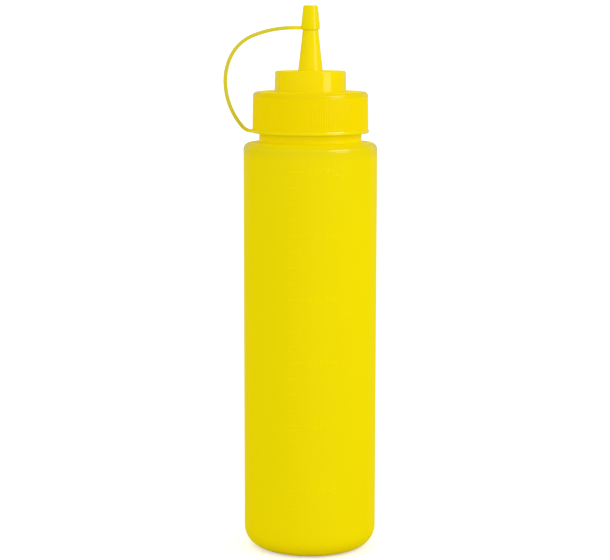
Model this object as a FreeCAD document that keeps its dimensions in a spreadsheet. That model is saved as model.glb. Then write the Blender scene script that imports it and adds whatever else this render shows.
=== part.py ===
import FreeCAD, Part
import math
import os
import re

import Sketcher

# A closed 700 ml sauce squeeze bottle, in three mouldings:
#   bottle     straight blow-moulded body with a near-flat shoulder, a short wide neck and a pushed-up base
#   screw_cap  ribbed skirt, deck, collar and tapered nozzle, one thin-walled moulding that sits on the neck
#   tip_cap    thimble on the nozzle's tip, with the thin strap and the neck ring that tether it
# Millimetres. The bottle's axis is Z, its base stands on Z = 0, and the strap hangs out on the -X side.

SIZES = (
    # bottle
    ("body_radius", 33.0, "outside of the straight wall"),
    ("body_height", 203.9, "base to where the shoulder meets the neck"),
    ("base_corner", 10.0, "rounding between wall and base"),
    ("shoulder_slope", 7.0, "degrees above level"),
    ("shoulder_corner", 3.4, "rounding between wall and shoulder"),
    ("neck_radius", 25.2, "outside of the neck"),
    ("neck_root", 1.2, "fillet between shoulder and neck"),
    ("neck_lip", 0.6, "rounding of the neck's rim"),
    ("stand_width", 4.0, "flat standing ring inside the base corner"),
    ("push_up_depth", 1.6, "height of the pushed-up ceiling"),
    ("push_up_slant", 3.0, "run of the sloping side up to it"),
    ("push_up_round", 1.2, "rounding of both edges of that side"),
    ("pinch_length", 26.0, "pinch-off line across the base"),
    ("pinch_width", 0.9, "width of that line"),
    ("pinch_height", 0.4, "how far it hangs below the ceiling"),
    # neck ring of the tether
    ("ring_rise", 4.1, "shoulder's root to the ring's underside"),
    ("ring_thickness", 1.7, "height of the ring"),
    ("ring_proud", 0.3, "how far it stands out past the skirt"),
    ("ring_edge", 0.6, "rounding of its outer edges"),
    ("ring_gap", 0.2, "play round the neck"),
    # screw cap
    ("seat_gap", 0.1, "play between pieces that bear on each other"),
    ("cap_height", 18.4, "skirt's lower edge to the deck"),
    ("cap_draft", 1.0, "degrees, skirt"),
    ("thread_room", 1.3, "neck to the inside of the skirt"),
    ("skirt_wall", 2.05, "wall of the skirt at its lower edge"),
    ("deck_corner", 2.0, "rounding between skirt and deck"),
    ("deck_wall", 1.7, "thickness of the deck"),
    ("collar_height", 10.1, "deck to the collar's top"),
    ("collar_radius", 17.65, "collar at the deck"),
    ("collar_draft", 1.7, "degrees, collar"),
    ("collar_corner", 0.95, "rounding of the collar's top edge"),
    ("collar_root", 0.6, "fillet at the collar's foot"),
    ("collar_wall", 1.5, "wall and roof of the collar"),
    ("nozzle_length", 30.4, "collar's top to the nozzle's tip"),
    ("nozzle_radius", 6.07, "nozzle at the collar's top"),
    ("nozzle_taper", 6.3, "degrees a side"),
    ("nozzle_root", 0.6, "fillet at the nozzle's foot"),
    ("nozzle_wall", 1.1, "wall of the nozzle"),
    ("nozzle_edge", 0.3, "rounding of the nozzle's tip"),
    # grip ribs, as grooves between them
    ("rib_count", 144, "grooves round the skirt"),
    ("rib_depth", 0.25, "depth of a groove"),
    ("rib_groove", 0.62, "width of a groove at the surface"),
    ("rib_low", 0.8, "skirt's lower edge to the grooves"),
    ("rib_high", 3.0, "deck to the grooves' upper ends"),
    # tip cap
    ("fit_gap", 0.1, "play between tip cap and nozzle"),
    ("tip_depth", 10.5, "lip to the ceiling inside"),
    ("tip_roof", 1.3, "thickness over the nozzle's tip"),
    ("tip_wall", 0.9, "wall of the tip cap"),
    ("tip_corner", 0.7, "rounding of the top edge"),
    ("lip_height", 2.8, "straight band round the mouth"),
    # strap
    ("strap_width", 3.0, "front to back"),
    ("strap_inset", 0.05, "how much thinner it is than the ring, on each face"),
    ("strap_round", 0.4, "rounding of its long edges"),
    ("strap_bite", 0.1, "how far its end sinks into the lip"),
    ("strap_bow", 13.05, "ring's edge to the strap's widest point"),
    ("strap_waist", 24.5, "ring to the widest point"),
    ("strap_lead", 4.0, "straight run out of the lip"),
    ("strap_first_turn", 21.7, "degrees, gentle arc after the lead"),
    ("strap_bend_turn", 42.2, "degrees, main bend"),
    ("strap_bend", 21.0, "radius of the main bend"),
    ("strap_foot", 2.0, "radius of the last bend, into the toe"),
    ("strap_toe", 1.3, "level run from the ring's edge to that bend"),
)
ALIASES = [name for name, _, _ in SIZES]

# Levels and radii worked out from the driving sizes, as formulas over their names
SHOULDER_RUN = "(body_radius - neck_radius)"
SHOULDER_EDGE = f"(body_height - {SHOULDER_RUN} * tan(shoulder_slope))"
PUSH_UP_MOUTH = "(body_radius - base_corner - stand_width)"
PUSH_UP_CEILING = f"({PUSH_UP_MOUTH} - push_up_slant)"
RING_LOW = "(body_height + ring_rise)"
RING_TOP = f"({RING_LOW} + ring_thickness)"
RING_MID = f"({RING_LOW} + ring_thickness / 2)"
SKIRT_LOW = f"({RING_TOP} + seat_gap)"
DECK = f"({SKIRT_LOW} + cap_height)"
DECK_UNDER = f"({DECK} - deck_wall)"
NECK_TOP = f"({DECK_UNDER} - seat_gap)"
COLLAR_TOP = f"({DECK} + collar_height)"
COLLAR_ROOF = f"({COLLAR_TOP} - collar_wall)"
NOZZLE_TOP = f"({COLLAR_TOP} + nozzle_length)"
TIP_CEILING = f"({NOZZLE_TOP} + fit_gap)"
TIP_TOP = f"({TIP_CEILING} + tip_roof)"
LIP_LOW = f"({TIP_CEILING} - tip_depth)"
LIP_TOP = f"({LIP_LOW} + lip_height)"
SKIRT_INSIDE = "(neck_radius + thread_room)"
SKIRT_FOOT = f"({SKIRT_INSIDE} + skirt_wall)"
RING_INSIDE = "(neck_radius + ring_gap)"
RING_OUTSIDE = f"({SKIRT_FOOT} + ring_proud)"
STRAP_THICKNESS = "(ring_thickness - 2 * strap_inset)"
STRAP_REACH = f"({RING_OUTSIDE} + strap_bow)"


def skirt_radius(level):
    """Formula for the outside of the drafted skirt at a level."""
    return f"({SKIRT_FOOT} - ({level} - {SKIRT_LOW}) * tan(cap_draft))"


def collar_outside(level):
    """Formula for the outside of the drafted collar at a level."""
    return f"(collar_radius - ({level} - {DECK}) * tan(collar_draft))"


def nozzle_outside(level):
    """Formula for the outside of the nozzle's cone at a level."""
    return f"(nozzle_radius - ({level} - {COLLAR_TOP}) * tan(nozzle_taper))"


def tip_outside(level):
    """Formula for the outside of the tip cap's cone at a level."""
    return f"({nozzle_outside(level)} + fit_gap + tip_wall)"


LIP_RADIUS = tip_outside(LIP_TOP)
LEAD_END = f"(-{LIP_RADIUS} - strap_lead)"
STRAP_TOP_MID = f"({LIP_LOW} + {STRAP_THICKNESS} / 2)"
STRAP_WIDEST = f"({RING_MID} + strap_waist)"
TOE_END = f"(-{RING_OUTSIDE} - strap_toe)"
TOE_INNER = f"(-{RING_OUTSIDE} + ring_edge)"

doc = FreeCAD.newDocument("squeeze_bottle")
sheet = doc.addObject("Spreadsheet::Sheet", "sizes")
for row, (alias, number, note) in enumerate(SIZES, start=1):
    sheet.set(f"A{row}", alias)
    sheet.set(f"B{row}", str(number))
    sheet.set(f"C{row}", note)
    sheet.setAlias(f"B{row}", alias)
doc.recompute()


def bound(formula):
    """The formula with every size's name pointing at its cell."""
    return re.sub(r"[a-z_]+", lambda word: f"sizes.{word[0]}" if word[0] in ALIASES else word[0], formula)


def value(formula):
    """The formula's present number."""
    return float(sheet.evalExpression(bound(formula)))


def new_body(label):
    """An empty body, named after its piece."""
    body = doc.addObject("PartDesign::Body", label)
    body.Label = label
    return body


def new_sketch(body, name, plane, offset=None):
    """A sketch flat on one of the body's own origin planes, raised from it by an offset formula."""
    sketch = body.newObject("Sketcher::SketchObject", name)
    face = next(item for item in body.Origin.OriginFeatures if item.Role == plane)
    sketch.AttachmentSupport = [(face, "")]
    sketch.MapMode = "FlatFace"
    if offset:
        sketch.setExpression("AttachmentOffset.Base.z", bound(offset))
    return sketch


def dimension(sketch, kind, target, formula):
    """Add one dimension to a sketch and bind it to the sheet; a plain 0 pins the point to the axis."""
    if formula == "0":
        axis = -2 if kind == "DistanceX" else -1
        sketch.addConstraint(Sketcher.Constraint("PointOnObject", *target[-2:], axis))
        return
    number = math.radians(value(formula)) if kind == "Angle" else value(formula)
    index = sketch.addConstraint(Sketcher.Constraint(kind, *target, number))
    sketch.setExpression(f"Constraints[{index}]", bound(formula))


def place(sketch, line, end, across, up):
    """Dimension one end of a line or arc from the sketch's origin."""
    dimension(sketch, "DistanceX", (-1, 1, line, end), across)
    dimension(sketch, "DistanceY", (-1, 1, line, end), up)


def outline(sketch, corners):
    """Closed, fully dimensioned outline through corners given as pairs of formulas."""
    points = [FreeCAD.Vector(value(across), value(up), 0) for across, up in corners]
    first = sketch.GeometryCount
    count = len(points)
    for index in range(count):
        sketch.addGeometry(Part.LineSegment(points[index], points[(index + 1) % count]))
    for index, (across, up) in enumerate(corners):
        following = first + (index + 1) % count
        sketch.addConstraint(Sketcher.Constraint("Coincident", first + index, 2, following, 1))
        place(sketch, first + index, 1, across, up)


def revolved(body, name, corners, kind="PartDesign::Revolution"):
    """Turn an outline in the XZ plane fully round the Z axis, adding or cutting."""
    sketch = new_sketch(body, name + "_outline", "XZ_Plane")
    outline(sketch, corners)
    feature = body.newObject(kind, name)
    feature.Profile = sketch
    feature.ReferenceAxis = (sketch, ["V_Axis"])
    feature.Angle = 360
    doc.recompute()
    return feature


def hoops(shape, radius, level):
    """Names of the circular edges of a radius about Z at a level."""
    found = []
    for index, edge in enumerate(shape.Edges, start=1):
        if not isinstance(edge.Curve, Part.Circle):
            continue
        centre = edge.Curve.Center
        on_axis = math.hypot(centre.x, centre.y) < 1e-4
        if on_axis and abs(edge.Curve.Radius - radius) < 1e-3 and abs(centre.z - level) < 1e-3:
            found.append(f"Edge{index}")
    return found


def rounded(body, name, radius, *corners):
    """Fillet the hoops that the outline's corners became."""
    base = body.Tip
    edges = []
    for across, up in corners:
        edges += hoops(base.Shape, value(across), value(up))
    if len(edges) < len(corners):
        raise RuntimeError(f"{name}: an edge to round was not found")
    feature = body.newObject("PartDesign::Fillet", name)
    feature.Base = (base, edges)
    feature.setExpression("Radius", bound(radius))
    doc.recompute()
    return feature


def make_bottle():
    """Body, shoulder and neck in one turned outline, closed and full, over a pushed-up base."""
    body = new_body("bottle")
    revolved(body, "bottle_turn", [
        ("0", "push_up_depth"),
        (PUSH_UP_CEILING, "push_up_depth"),
        (PUSH_UP_MOUTH, "0"),
        ("body_radius", "0"),
        ("body_radius", SHOULDER_EDGE),
        ("neck_radius", "body_height"),
        ("neck_radius", NECK_TOP),
        ("0", NECK_TOP),
    ])
    rounded(body, "base_rounding", "base_corner", ("body_radius", "0"))
    # on a narrow shoulder the two roundings share its run
    corner = f"min(shoulder_corner; 0.65 * {SHOULDER_RUN})"
    root = f"min(neck_root; 0.3 * {SHOULDER_RUN})"
    rounded(body, "shoulder_rounding", corner, ("body_radius", SHOULDER_EDGE))
    rounded(body, "neck_fillet", root, ("neck_radius", "body_height"))
    rounded(body, "rim_rounding", "neck_lip", ("neck_radius", NECK_TOP))
    rounded(body, "ceiling_rounding", "push_up_round", (PUSH_UP_CEILING, "push_up_depth"))
    rounded(body, "mouth_rounding", "push_up_round", (PUSH_UP_MOUTH, "0"))
    pinch = new_sketch(body, "pinch_outline", "XY_Plane", "push_up_depth - pinch_height")
    outline(pinch, [
        ("-pinch_length / 2", "-pinch_width / 2"),
        ("pinch_length / 2", "-pinch_width / 2"),
        ("pinch_length / 2", "pinch_width / 2"),
        ("-pinch_length / 2", "pinch_width / 2"),
    ])
    line = body.newObject("PartDesign::Pad", "pinch_line")
    line.Profile = pinch
    line.setExpression("Length", bound("2 * pinch_height"))
    doc.recompute()
    return body


def make_screw_cap():
    """Skirt, deck, collar and nozzle as one shell, then the grip grooves round the skirt."""
    body = new_body("screw_cap")
    collar_inside = "(collar_radius - collar_wall)"
    collar_inside_top = f"({collar_outside(COLLAR_ROOF)} - collar_wall)"
    bore_low = f"({nozzle_outside(COLLAR_ROOF)} - nozzle_wall)"
    bore_top = f"({nozzle_outside(NOZZLE_TOP)} - nozzle_wall)"
    revolved(body, "cap_turn", [
        (SKIRT_INSIDE, SKIRT_LOW),
        (SKIRT_FOOT, SKIRT_LOW),
        (skirt_radius(DECK), DECK),
        ("collar_radius", DECK),
        (collar_outside(COLLAR_TOP), COLLAR_TOP),
        ("nozzle_radius", COLLAR_TOP),
        (nozzle_outside(NOZZLE_TOP), NOZZLE_TOP),
        (bore_top, NOZZLE_TOP),
        (bore_low, COLLAR_ROOF),
        (collar_inside_top, COLLAR_ROOF),
        (collar_inside, DECK_UNDER),
        (SKIRT_INSIDE, DECK_UNDER),
    ])
    rounded(body, "deck_rounding", "deck_corner", (skirt_radius(DECK), DECK))
    rounded(body, "collar_rounding", "collar_corner", (collar_outside(COLLAR_TOP), COLLAR_TOP))
    rounded(body, "collar_fillet", "collar_root", ("collar_radius", DECK))
    rounded(body, "nozzle_fillet", "nozzle_root", ("nozzle_radius", COLLAR_TOP))
    rounded(body, "tip_rounding", "nozzle_edge", (nozzle_outside(NOZZLE_TOP), NOZZLE_TOP))
    cut_grip(body)
    return body


def groove_section(body, name, level):
    """One groove's V across the skirt at a level, open outwards."""
    sketch = new_sketch(body, name, "XY_Plane", level)
    surface = skirt_radius(level)
    outline(sketch, [
        (f"({surface} - rib_depth)", "0"),
        (f"({surface} + rib_depth)", "rib_groove"),
        (f"({surface} + rib_depth)", "-rib_groove"),
    ])
    return sketch


def cut_grip(body):
    """Cut one V groove that follows the skirt's draft and repeat it all the way round."""
    before = body.Tip.Shape.Volume
    groove = body.newObject("PartDesign::SubtractiveLoft", "grip_groove")
    groove.Profile = groove_section(body, "groove_foot", f"({SKIRT_LOW} + rib_low)")
    groove.Sections = [groove_section(body, "groove_head", f"({DECK} - rib_high)")]
    doc.recompute()
    pattern = body.newObject("PartDesign::PolarPattern", "grip")
    pattern.Originals = [groove]
    axis = next(item for item in body.Origin.OriginFeatures if item.Role == "Z_Axis")
    pattern.Axis = (axis, [""])
    pattern.Angle = 360
    pattern.setExpression("Occurrences", bound("rib_count"))
    body.Tip = pattern
    doc.recompute()
    length = value(f"{DECK} - rib_high - {SKIRT_LOW} - rib_low")
    expected = value("rib_count * rib_depth * rib_groove / 2") * length
    removed = before - pattern.Shape.Volume
    if not 0.8 * expected < removed < 1.2 * expected:
        raise RuntimeError(f"grip grooves removed {removed:.1f} mm3, not {expected:.1f}")


def make_tip_cap():
    """Neck ring, then the strap swept up from it, then the thimble that the strap ends on."""
    body = new_body("tip_cap")
    revolved(body, "ring_turn", [
        (RING_INSIDE, RING_LOW),
        (RING_OUTSIDE, RING_LOW),
        (RING_OUTSIDE, RING_TOP),
        (RING_INSIDE, RING_TOP),
    ])
    rounded(body, "ring_rounding", "ring_edge", (RING_OUTSIDE, RING_LOW), (RING_OUTSIDE, RING_TOP))
    sweep_strap(body)
    revolved(body, "thimble_turn", [
        ("0", LIP_LOW),
        (LIP_RADIUS, LIP_LOW),
        (LIP_RADIUS, LIP_TOP),
        (tip_outside(TIP_TOP), TIP_TOP),
        ("0", TIP_TOP),
    ])
    rounded(body, "thimble_rounding", "tip_corner", (tip_outside(TIP_TOP), TIP_TOP))
    before = body.Tip.Shape.Volume
    bore = revolved(body, "thimble_bore", [
        ("0", LIP_LOW),
        (f"({nozzle_outside(LIP_LOW)} + fit_gap)", LIP_LOW),
        (f"({nozzle_outside(TIP_CEILING)} + fit_gap)", TIP_CEILING),
        ("0", TIP_CEILING),
    ], "PartDesign::Groove")
    if before - bore.Shape.Volume < value("tip_depth"):
        raise RuntimeError("the thimble's bore was not cut")
    return body


def sweep_strap(body):
    """Sweep the strap's section along a route of tangent arcs from the lip round to the ring."""
    start = f"(sqrt({LIP_RADIUS} ^ 2 - strap_width ^ 2 / 4) - strap_bite)"
    route = new_sketch(body, "strap_route", "XZ_Plane")
    draw_route(route, start)
    section = new_sketch(body, "strap_section", "YZ_Plane", f"-{start}")
    draw_section(section)
    strap = body.newObject("PartDesign::AdditivePipe", "strap")
    strap.Profile = section
    strap.Spine = (route, [f"Edge{index}" for index in range(1, route.GeometryCount + 1)])
    doc.recompute()
    return strap


def arc(centre, radius, low, high):
    """Arc of a circle in the sketch plane between two angles in degrees, anticlockwise."""
    circle = Part.Circle(centre, FreeCAD.Vector(0, 0, 1), radius)
    return Part.ArcOfCircle(circle, math.radians(low), math.radians(high))


def strap_arcs():
    """Centre, radius and end angles of the five tangent arcs between the lead and the toe.

    The first two turns and the radius of the main bend are given. The radii on both sides of that
    bend follow from where the lead ends and where the strap is widest, and the long lower arc's
    from the last bend and the toe.
    """
    lead_x, lead_z = value(LEAD_END), value(STRAP_TOP_MID)
    wide_x, wide_z = -value(STRAP_REACH), value(STRAP_WIDEST)
    first, bend = value("strap_first_turn"), value("strap_bend_turn")
    radius, foot = value("strap_bend"), value("strap_foot")
    sin_a, cos_a = math.sin(math.radians(first)), math.cos(math.radians(first))
    sin_b, cos_b = math.sin(math.radians(first + bend)), math.cos(math.radians(first + bend))
    # across: gentle sin a + side (1 - sin b) = run; down: gentle (1 - cos a) + side cos b = drop
    run = lead_x - wide_x - radius * (sin_b - sin_a)
    drop = lead_z - wide_z - radius * (cos_a - cos_b)
    scale = sin_a * cos_b - (1 - sin_b) * (1 - cos_a)
    gentle = (run * cos_b - (1 - sin_b) * drop) / scale
    side = (sin_a * drop - (1 - cos_a) * run) / scale
    gentle_centre = FreeCAD.Vector(lead_x, lead_z - gentle, 0)
    bend_centre = gentle_centre + FreeCAD.Vector(-sin_a, cos_a, 0) * (gentle - radius)
    side_centre = FreeCAD.Vector(wide_x + side, wide_z, 0)
    toe_x, toe_z = value(TOE_END), value(RING_MID)
    fall, inward = wide_z - toe_z, toe_x - wide_x
    long = (fall**2 + inward**2 - 2 * fall * foot) / (2 * (inward - foot))
    long_centre = FreeCAD.Vector(wide_x + long, wide_z, 0)
    foot_centre = FreeCAD.Vector(toe_x, toe_z + foot, 0)
    join = math.degrees(math.atan2(long_centre.y - foot_centre.y, long_centre.x - foot_centre.x))
    return (
        (gentle_centre, gentle, 90, 90 + first),
        (bend_centre, radius, 90 + first, 90 + first + bend),
        (side_centre, side, 90 + first + bend, 180),
        (long_centre, long, 180, 180 + join),
        (foot_centre, foot, 180 + join, 270),
    )


def draw_route(sketch, start):
    """Straight lead, three arcs out to the widest point, two back down, and a level toe into the ring."""
    lead_end = FreeCAD.Vector(value(LEAD_END), value(STRAP_TOP_MID), 0)
    toe_start = FreeCAD.Vector(value(TOE_END), value(RING_MID), 0)
    toe_inner = FreeCAD.Vector(value(TOE_INNER), value(RING_MID), 0)
    sketch.addGeometry(Part.LineSegment(FreeCAD.Vector(-value(start), lead_end.y, 0), lead_end))
    for centre, radius, low, high in strap_arcs():
        sketch.addGeometry(arc(centre, radius, low, high))
    sketch.addGeometry(Part.LineSegment(toe_start, toe_inner))
    sketch.addConstraint(Sketcher.Constraint("Horizontal", 0))
    place(sketch, 0, 1, f"-{start}", STRAP_TOP_MID)
    dimension(sketch, "DistanceX", (-1, 1, 0, 2), LEAD_END)
    for index in range(6):
        sketch.addConstraint(Sketcher.Constraint("Tangent", index, 2, index + 1, 1))
    dimension(sketch, "Angle", (1,), "strap_first_turn")
    dimension(sketch, "Angle", (2,), "strap_bend_turn")
    dimension(sketch, "Radius", (2,), "strap_bend")
    dimension(sketch, "Radius", (5,), "strap_foot")
    place(sketch, 3, 2, f"-{STRAP_REACH}", STRAP_WIDEST)
    sketch.addConstraint(Sketcher.Constraint("Horizontal", 3, 2, 3, 3))
    place(sketch, 5, 2, TOE_END, RING_MID)
    dimension(sketch, "DistanceX", (-1, 1, 6, 2), TOE_INNER)
    sketch.addConstraint(Sketcher.Constraint("Horizontal", 6))


def draw_section(sketch):
    """The strap's section: a rectangle with rounded corners, its underside level with the lip's."""
    outline(sketch, [
        ("-strap_width / 2", LIP_LOW),
        ("strap_width / 2", LIP_LOW),
        ("strap_width / 2", f"({LIP_LOW} + {STRAP_THICKNESS})"),
        ("-strap_width / 2", f"({LIP_LOW} + {STRAP_THICKNESS})"),
    ])
    for corner in range(4):
        new_arc = sketch.GeometryCount
        sketch.fillet(corner, 1, value("strap_round"), True, True)
        dimension(sketch, "Radius", (new_arc,), "strap_round")


bodies = [make_bottle(), make_screw_cap(), make_tip_cap()]
doc.recompute()

for item in doc.Objects:
    if "Invalid" in item.State or "Error" in item.State:
        raise RuntimeError(f"{item.Label} failed to compute")
    if item.isDerivedFrom("Sketcher::SketchObject") and not item.FullyConstrained:
        raise RuntimeError(f"{item.Label} is not fully constrained")
for body in bodies:
    if body.Shape.isNull() or not body.Shape.isValid() or len(body.Shape.Solids) != 1:
        raise RuntimeError(f"{body.Label} is not one valid solid")

os.makedirs("parts", exist_ok=True)
for body in bodies:
    body.Shape.exportStep(os.path.join("parts", body.Label + ".step"))
    print(f"{body.Label}: {body.Shape.Volume:.0f} mm3, {len(body.Shape.Faces)} faces")
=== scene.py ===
"""Looks of a closed sauce squeeze bottle.

A blow-moulded bottle, a ribbed screw cap with its nozzle, and a tip cap on a strap. Every surface
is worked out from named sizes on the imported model's own frame: Z is the bottle's axis, the base
stands on Z = 0, the front with the scale faces -Y and the strap hangs on -X. Sizes are in
millimetres and meshes in metres.
"""

import logging
import math
from dataclasses import dataclass, field
from enum import Enum

import bmesh
import bpy
import numpy as np
from mathutils import Matrix


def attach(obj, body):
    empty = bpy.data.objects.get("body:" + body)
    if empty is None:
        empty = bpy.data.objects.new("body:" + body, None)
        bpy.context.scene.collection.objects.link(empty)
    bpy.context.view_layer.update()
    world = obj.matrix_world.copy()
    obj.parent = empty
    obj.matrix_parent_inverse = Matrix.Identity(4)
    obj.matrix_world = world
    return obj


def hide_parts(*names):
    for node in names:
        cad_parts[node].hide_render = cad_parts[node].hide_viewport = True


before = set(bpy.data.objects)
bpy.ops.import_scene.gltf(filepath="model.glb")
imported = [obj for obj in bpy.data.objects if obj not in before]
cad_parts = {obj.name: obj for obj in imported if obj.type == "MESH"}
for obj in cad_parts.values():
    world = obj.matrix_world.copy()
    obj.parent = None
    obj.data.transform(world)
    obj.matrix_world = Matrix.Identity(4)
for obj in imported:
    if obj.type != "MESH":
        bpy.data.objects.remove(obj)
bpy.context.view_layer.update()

LOG = logging.getLogger("squeeze_bottle")
MM = 0.001
TURN = 2 * math.pi
TINY = 1e-9
SLACK = 1e-6
# Names under which a mesh holds its points' shares of the second colour, which paints light on
# bottle and cap and tints the strap a darker olive, and of the gloss.
PAINTED_LIGHT_AND_TINT, GLOSS = "clear", "gloss"


# ---- outlines and grids


@dataclass(frozen=True)
class Corner:
    """A corner of a turned outline, in millimetres.

    Args:
        out: distance from the axis.
        up: height above the base plane.
        rounding: radius of the arc that replaces the corner; 0 leaves it sharp.
    """

    out: float
    up: float
    rounding: float = 0.0


def corner_arc(
    before: np.ndarray, at: np.ndarray, after: np.ndarray, rounding: float, step: float
) -> np.ndarray:
    """Points of the arc that rounds one corner.

    The arc's centre lies on the bisector, rounding / sin(half the inside angle) from the corner,
    and its ends lie rounding / tan(half the inside angle) along both sides.

    Args:
        before: the corner before this one.
        at: this corner.
        after: the corner after this one.
        rounding: the arc's radius.
        step: largest turn between two points, in radians.

    Returns:
        (n, 2) points, in order.
    """
    if rounding <= 0:
        return at[None, :]
    back = (before - at) / np.linalg.norm(before - at)
    ahead = (after - at) / np.linalg.norm(after - at)
    half = math.acos(float(np.clip(back @ ahead, -1, 1))) / 2
    bisector = (back + ahead) / np.linalg.norm(back + ahead)
    centre = at + bisector * rounding / math.sin(half)
    first = at + back * rounding / math.tan(half) - centre
    sweep = math.pi - 2 * half
    sense = math.copysign(1.0, float(ahead[0] * back[1] - ahead[1] * back[0]))
    turn = np.linspace(0, sweep, max(3, math.ceil(sweep / step) + 1)) * sense
    across = np.array([-first[1], first[0]])
    return centre + np.outer(np.cos(turn), first) + np.outer(np.sin(turn), across)


def rounded_outline(
    corners: list[Corner],
    closed: bool,
    run: float = 4.0,
    guard: float = 0.25,
    step_deg: float = 9.0,
) -> np.ndarray:
    """An outline through corners, with arcs at the rounded ones and points along the straight runs.

    Args:
        corners: the corners in order.
        closed: whether the last corner joins the first.
        run: longest straight step, in millimetres.
        guard: distance from each end of a run to its first inner point, which keeps shading crisp.
        step_deg: largest turn between two points of an arc.

    Returns:
        (n, 2) array of distance from the axis and height, in millimetres.
    """
    spots = np.array([(corner.out, corner.up) for corner in corners])
    count = len(corners)
    step = math.radians(step_deg)
    arcs = []
    for index, corner in enumerate(corners):
        at_end = not closed and index in (0, count - 1)
        radius = 0.0 if at_end else corner.rounding
        after = spots[(index + 1) % count]
        arcs.append(corner_arc(spots[index - 1], spots[index], after, radius, step))
    pieces = []
    for index, points in enumerate(arcs):
        pieces.append(points)
        if index == count - 1 and not closed:
            break
        start, end = points[-1], arcs[(index + 1) % count][0]
        length = float(np.linalg.norm(end - start))
        if length > 3 * guard:
            stops = max(2, math.ceil((length - 2 * guard) / run) + 1)
            inner = np.linspace(guard, length - guard, stops)
            pieces.append(start + (end - start) * (inner / length)[:, None])
    return np.vstack(pieces)


def even_angles(count: int) -> np.ndarray:
    """Angles of a full turn in equal steps, in radians, without the last that repeats the first."""
    return np.arange(count) * (TURN / count)


def turned(outline: np.ndarray, angles: np.ndarray, swell: np.ndarray | None = None) -> np.ndarray:
    """Surface of an outline turned about Z: x = r cos a, y = r sin a, z = height.

    Args:
        outline: (n, 2) distances and heights, in millimetres.
        angles: (m,) angles about Z.
        swell: (n, m) amounts added to the distance, in millimetres.

    Returns:
        (n, m, 3) points in metres.
    """
    radius = np.repeat(outline[:, :1], len(angles), axis=1)
    if swell is not None:
        radius = radius + swell
    height = np.repeat(outline[:, 1:], len(angles), axis=1)
    return np.stack([radius * np.cos(angles), radius * np.sin(angles), height], axis=2) * MM


def gloss_by_slope(outline: np.ndarray, least: float = 0.05) -> np.ndarray:
    """Share of gloss down an outline: full on walls, least on level faces.

    It is 2 x |dz| / length along the outline, by the neighbours on both sides, kept to least..1.

    Args:
        outline: (n, 2) distances and heights.
        least: share of gloss that level faces keep.

    Returns:
        (n,) shares.
    """
    run = np.roll(outline, -1, axis=0) - np.roll(outline, 1, axis=0)
    steep = np.abs(run[:, 1]) / np.maximum(np.linalg.norm(run, axis=1), TINY)
    return np.clip(2 * steep, least, 1)


@dataclass
class Patchwork:
    """Points, faces and shares gathered from grids of points, made into one mesh."""

    points: list[np.ndarray] = field(default_factory=list)
    faces: list[np.ndarray] = field(default_factory=list)
    # Shares of the second colour: painted light on bottle and cap, the strap's darker tint.
    clear: list[np.ndarray] = field(default_factory=list)
    gloss: list[np.ndarray] = field(default_factory=list)
    total: int = 0

    def add_grid(
        self,
        grid: np.ndarray,
        wrap_rows: bool = False,
        wrap_columns: bool = True,
        clear: np.ndarray | float = 0.0,
        gloss: np.ndarray | float = 1.0,
    ) -> None:
        """Add a grid as quads that face outwards.

        The signed volume under the quads, a sixth of the sum of p0 . (p1 x p2) over their
        triangles, tells which way they face, and a negative one turns them round.

        Args:
            grid: (n, m, 3) points in metres; a wrapped way closes on itself.
            wrap_rows: whether the last row joins the first.
            wrap_columns: whether the last column joins the first.
            clear: share of the second colour, painted light on bottle and cap and a darker tint on
                the strap, one number or an array that fits (n, m).
            gloss: share of the full gloss, likewise.
        """
        rows, columns = grid.shape[:2]
        index = np.arange(rows * columns).reshape(rows, columns)
        if wrap_rows:
            index = np.vstack([index, index[:1]])
        if wrap_columns:
            index = np.hstack([index, index[:, :1]])
        corners = [index[:-1, :-1], index[:-1, 1:], index[1:, 1:], index[1:, :-1]]
        quads = np.stack(corners, axis=2).reshape(-1, 4)
        flat = grid.reshape(-1, 3)
        centred = flat - flat.mean(axis=0)
        first, second, third, fourth = (centred[quads[:, corner]] for corner in range(4))
        volume = np.einsum("ij,ij->", first, np.cross(second, third))
        volume += np.einsum("ij,ij->", first, np.cross(third, fourth))
        if volume < 0:
            quads = quads[:, ::-1]
        self.points.append(flat)
        self.faces.append(quads + self.total)
        self.clear.append(np.broadcast_to(clear, (rows, columns)).reshape(-1))
        self.gloss.append(np.broadcast_to(gloss, (rows, columns)).reshape(-1))
        self.total += len(flat)

    def to_object(self, name: str, weld: float = 1e-7) -> bpy.types.Object:
        """Make the mesh and its object, smooth, at the origin.

        Args:
            name: the piece's name.
            weld: points nearer than this, in metres, become one, which closes poles and tips.

        Returns:
            The linked object.
        """
        mesh = bpy.data.meshes.new(name)
        mesh.from_pydata(np.vstack(self.points), [], np.vstack(self.faces))
        for label, shares in ((PAINTED_LIGHT_AND_TINT, self.clear), (GLOSS, self.gloss)):
            layer = mesh.attributes.new(label, "FLOAT", "POINT")
            layer.data.foreach_set("value", np.concatenate(shares).astype(np.float32))
        work = bmesh.new()
        work.from_mesh(mesh)
        bmesh.ops.remove_doubles(work, verts=work.verts, dist=weld)
        work.to_mesh(mesh)
        work.free()
        mesh.shade_smooth()
        piece = bpy.data.objects.new(name, mesh)
        bpy.context.scene.collection.objects.link(piece)
        return piece


def settle(
    piece: bpy.types.Object, material: bpy.types.Material, slot: str, *nodes: str
) -> None:
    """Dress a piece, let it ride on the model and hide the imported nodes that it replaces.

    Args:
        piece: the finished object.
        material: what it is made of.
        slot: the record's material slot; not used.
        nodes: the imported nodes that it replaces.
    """
    piece.data.materials.append(material)
    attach(piece, "root")
    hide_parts(*nodes)
    LOG.info("%s: %d faces", piece.name, len(piece.data.polygons))


# ---- finishes


class Slot(Enum):
    """Material slots of the record."""

    BOTTLE = "bottle_plastic"
    CAP = "cap_plastic"
    TETHER = "tether_plastic"


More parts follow.
